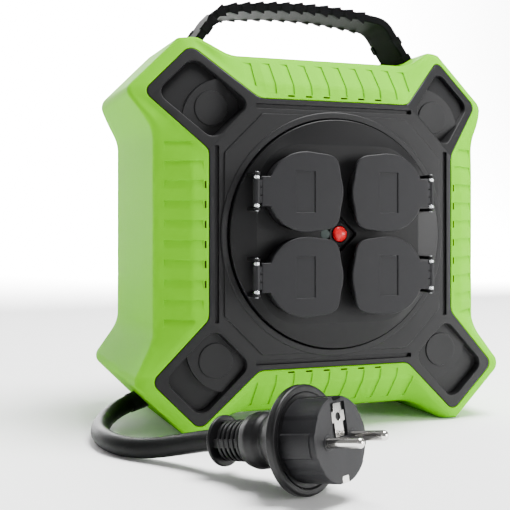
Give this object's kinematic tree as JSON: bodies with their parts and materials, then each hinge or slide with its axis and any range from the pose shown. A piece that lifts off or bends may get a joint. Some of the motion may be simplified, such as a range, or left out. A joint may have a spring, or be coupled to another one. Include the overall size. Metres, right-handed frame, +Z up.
{
  "type": "extension cord reel",
  "caption": "Closed square cord reel with covered outlets in a rotating hub, waisted casing with corner lugs, ribbed carrying handle, rear winding knob and a short lead with plug.",
  "frame": {"origin": "centre of the floor contact, under the middle of the reel without its lead", "axes": "+X to the right seen from the front, -Y out of the outlets, +Z up"},
  "size_m": [0.2693, 0.3222, 0.2725],
  "materials": {
    "green_shell": "fine moulded, satin",
    "black_panel": "fine spark-eroded grain",
    "cap_plastic": "fine grain",
    "handle_plastic": "moulded, ribbed",
    "hub_plastic": "fine grain",
    "outlet_plastic": "moulded",
    "cover_plastic": "fine grain",
    "drum_plastic": "moulded",
    "knob_plastic": "moulded",
    "plug_rubber": "moulded rubber",
    "plug_insert": "moulded",
    "cord_rubber": "extruded rubber sheath",
    "soft_rubber": "moulded rubber",
    "acetal": "turned acetal",
    "zinc_steel": "zinc plated",
    "spring_steel": "drawn wire",
    "nickel_pins": "nickel plated brass",
    "contact_brass": "stamped",
    "lens_grey": "moulded, smooth",
    "button_red": "moulded, smooth"
  },
  "bodies": {
    "casing": {"front_shell": "green_shell", "rear_shell": "green_shell", "front_panel": "black_panel", "rear_panel": "black_panel", "front_screw_caps": "cap_plastic", "casing_screws": "zinc_steel", "carry_handle": "handle_plastic", "handle_anchor_pins": "zinc_steel", "front_bearing_ring": "acetal", "rear_bearing_ring": "acetal", "cable_outlet_bush": "soft_rubber", "free_cord": "cord_rubber", "plug_body": "plug_rubber", "plug_boot": "plug_rubber", "plug_face": "plug_insert", "plug_pins": "nickel_pins", "plug_earth_contacts": "nickel_pins"},
    "drum": {"socket_carrier": "hub_plastic", "outlet_top_left": "outlet_plastic", "outlet_top_right": "outlet_plastic", "outlet_bottom_left": "outlet_plastic", "outlet_bottom_right": "outlet_plastic", "outlet_earth_clips": "contact_brass", "outlet_contacts": "contact_brass", "flap_hinge_pins": "zinc_steel", "flap_springs": "spring_steel", "breaker_body": "black_panel", "breaker_collar": "hub_plastic", "indicator_lens": "lens_grey", "drum_front_flange": "drum_plastic", "drum_core": "drum_plastic", "drum_rear_flange": "drum_plastic", "cable_winding": "cord_rubber", "terminal_block": "acetal", "cord_clamp": "drum_plastic", "carrier_screws": "zinc_steel", "winding_disc": "hub_plastic", "disc_screws": "zinc_steel", "knob_axle": "zinc_steel"},
    "cover_top_left": {"flap_top_left": "cover_plastic", "seal_top_left": "soft_rubber"},
    "cover_top_right": {"flap_top_right": "cover_plastic", "seal_top_right": "soft_rubber"},
    "cover_bottom_left": {"flap_bottom_left": "cover_plastic", "seal_bottom_left": "soft_rubber"},
    "cover_bottom_right": {"flap_bottom_right": "cover_plastic", "seal_bottom_right": "soft_rubber"},
    "button": {"reset_button": "button_red"},
    "knob": {"winding_knob": "knob_plastic"}
  },
  "joints": [
    {"name": "drum_spin", "type": "hinge", "parent": "casing", "child": "drum", "pos_m": [0, 0, 0.1205], "axis": [0, -1, 0], "continuous": true},
    {"name": "cover_top_left_hinge", "type": "hinge", "parent": "drum", "child": "cover_top_left", "pos_m": [-0.0571, -0.0881, 0.1455], "axis": [0, 0, -1], "range_deg": [0, 105], "stiffness_Nm_per_rad": 0.02, "springref_deg": -34.38},
    {"name": "cover_top_right_hinge", "type": "hinge", "parent": "drum", "child": "cover_top_right", "pos_m": [0.0571, -0.0881, 0.1455], "axis": [0, 0, 1], "range_deg": [0, 105], "stiffness_Nm_per_rad": 0.02, "springref_deg": -34.38},
    {"name": "cover_bottom_left_hinge", "type": "hinge", "parent": "drum", "child": "cover_bottom_left", "pos_m": [-0.0571, -0.0881, 0.0955], "axis": [0, 0, -1], "range_deg": [0, 105], "stiffness_Nm_per_rad": 0.02, "springref_deg": -34.38},
    {"name": "cover_bottom_right_hinge", "type": "hinge", "parent": "drum", "child": "cover_bottom_right", "pos_m": [0.0571, -0.0881, 0.0955], "axis": [0, 0, 1], "range_deg": [0, 105], "stiffness_Nm_per_rad": 0.02, "springref_deg": -34.38},
    {"name": "reset_press", "type": "slide", "parent": "drum", "child": "button", "axis": [0, 1, 0], "range_m": [0, 0.0018], "stiffness_N_per_m": 600},
    {"name": "knob_spin", "type": "hinge", "parent": "drum", "child": "knob", "pos_m": [0, 0.08, 0.0755], "axis": [0, 1, 0], "continuous": true}
  ]
}
